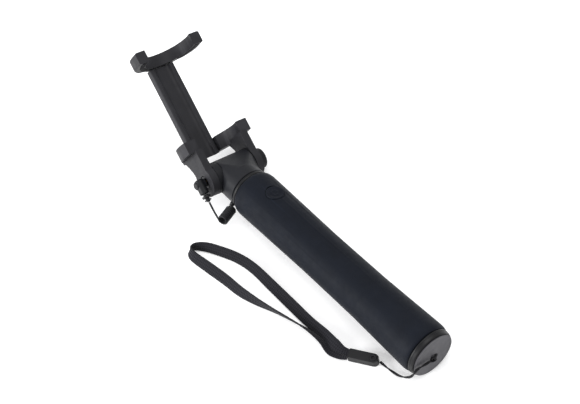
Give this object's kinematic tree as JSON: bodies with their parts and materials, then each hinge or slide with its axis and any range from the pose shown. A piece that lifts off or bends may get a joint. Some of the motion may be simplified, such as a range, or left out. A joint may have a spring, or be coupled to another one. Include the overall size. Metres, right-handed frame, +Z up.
{
  "type": "selfie stick",
  "caption": "Collapsible hand-held selfie stick: telescoping tubes in a soft grip, a shutter button, a tilting sprung phone clamp, a stowed jack lead and a wrist strap.",
  "frame": {"origin": "on the table, under the middle of the box round the stick and its clamp, the wrist strap and its thread left out", "axes": "+X along the handle from the clamp to the end cap, +Z up from the table, and +Y level to the side of the hinge knob. The stick is rolled 18 degrees about its own axis, so its button faces up and towards +Y"},
  "size_m": [0.2785, 0.0954, 0.0777],
  "materials": {
    "silicone": "matte silicone, bluish black",
    "shell_plastic": "fine satin texture",
    "clamp_plastic": "fine satin texture",
    "trim_plastic": "semi-gloss",
    "cap_plastic": "satin",
    "pad_rubber": "soft matte",
    "nylon": "unfilled",
    "steel": "drawn",
    "black_steel": "black oxide",
    "jack_brass": "plated",
    "circuit_board": "solder mask",
    "lead_rubber": "satin",
    "webbing": "woven nylon"
  },
  "bodies": {
    "handle": {"grip_sleeve": "silicone", "handle_core": "shell_plastic", "front_collar": "trim_plastic", "trim_ring": "trim_plastic", "end_ring": "trim_plastic", "end_cap": "cap_plastic", "switch_board": "circuit_board", "tact_switch": "black_steel", "lead_coil": "lead_rubber", "outer_tube": "steel", "guide_ring_1": "nylon", "wrist_strap": "webbing", "strap_slider": "trim_plastic", "lanyard_thread": "webbing"},
    "button": {"shutter_button": "silicone"},
    "stage_1": {"tube_1": "steel", "rear_bush_1": "nylon", "guide_ring_2": "nylon"},
    "stage_2": {"tube_2": "steel", "rear_bush_2": "nylon", "guide_ring_3": "nylon"},
    "stage_3": {"tube_3": "steel", "rear_bush_3": "nylon", "guide_ring_4": "nylon"},
    "stage_4": {"tube_4": "steel", "rear_bush_4": "nylon", "guide_ring_5": "nylon"},
    "head": {"tube_5": "steel", "rear_bush_5": "nylon", "head_block": "shell_plastic", "friction_ring": "shell_plastic", "tube_pin": "steel", "lead_gland": "lead_rubber", "curly_lead": "lead_rubber", "plug_lead": "lead_rubber", "plug_body": "lead_rubber", "plug_boot": "lead_rubber", "plug_tip": "jack_brass"},
    "clamp": {"clamp_yoke": "clamp_plastic", "lower_pad_left": "pad_rubber", "lower_pad_right": "pad_rubber", "hinge_bolt": "black_steel", "hinge_nut": "black_steel", "hinge_knob": "shell_plastic", "spring_washer": "steel", "rail_shell": "clamp_plastic", "rail_cover": "clamp_plastic", "rail_screw_left": "black_steel", "rail_screw_right": "black_steel", "spring_anchor": "steel", "jaw_spring_left": "steel", "jaw_spring_right": "steel"},
    "jaw": {"upper_jaw": "clamp_plastic", "slide_plate": "steel", "upper_pad_left": "pad_rubber", "upper_pad_right": "pad_rubber"}
  },
  "joints": [
    {"name": "stage_1_slide", "type": "slide", "parent": "handle", "child": "stage_1", "axis": [-1, 0, 0], "range_m": [0, 0.11]},
    {"name": "stage_2_slide", "type": "slide", "parent": "stage_1", "child": "stage_2", "axis": [-1, 0, 0], "range_m": [0, 0.108]},
    {"name": "stage_3_slide", "type": "slide", "parent": "stage_2", "child": "stage_3", "axis": [-1, 0, 0], "range_m": [0, 0.106]},
    {"name": "stage_4_slide", "type": "slide", "parent": "stage_3", "child": "stage_4", "axis": [-1, 0, 0], "range_m": [0, 0.104]},
    {"name": "head_slide", "type": "slide", "parent": "stage_4", "child": "head", "axis": [-1, 0, 0], "range_m": [0, 0.102]},
    {"name": "clamp_tilt", "type": "hinge", "parent": "head", "child": "clamp", "pos_m": [-0.05092, -0.00936, 0.01605], "axis": [0, 0.9511, -0.309], "range_deg": [-35.8, 138]},
    {"name": "jaw_pull", "type": "slide", "parent": "clamp", "child": "jaw", "axis": [-0.8111, 0.1808, 0.5563], "range_m": [0, 0.028], "stiffness_N_per_m": 150, "springref_m": -0.02},
    {"name": "button_press", "type": "slide", "parent": "handle", "child": "button", "axis": [0, -0.309, -0.9511], "range_m": [0, 0.0005], "stiffness_N_per_m": 2000, "springref_m": -0.0005}
  ]
}
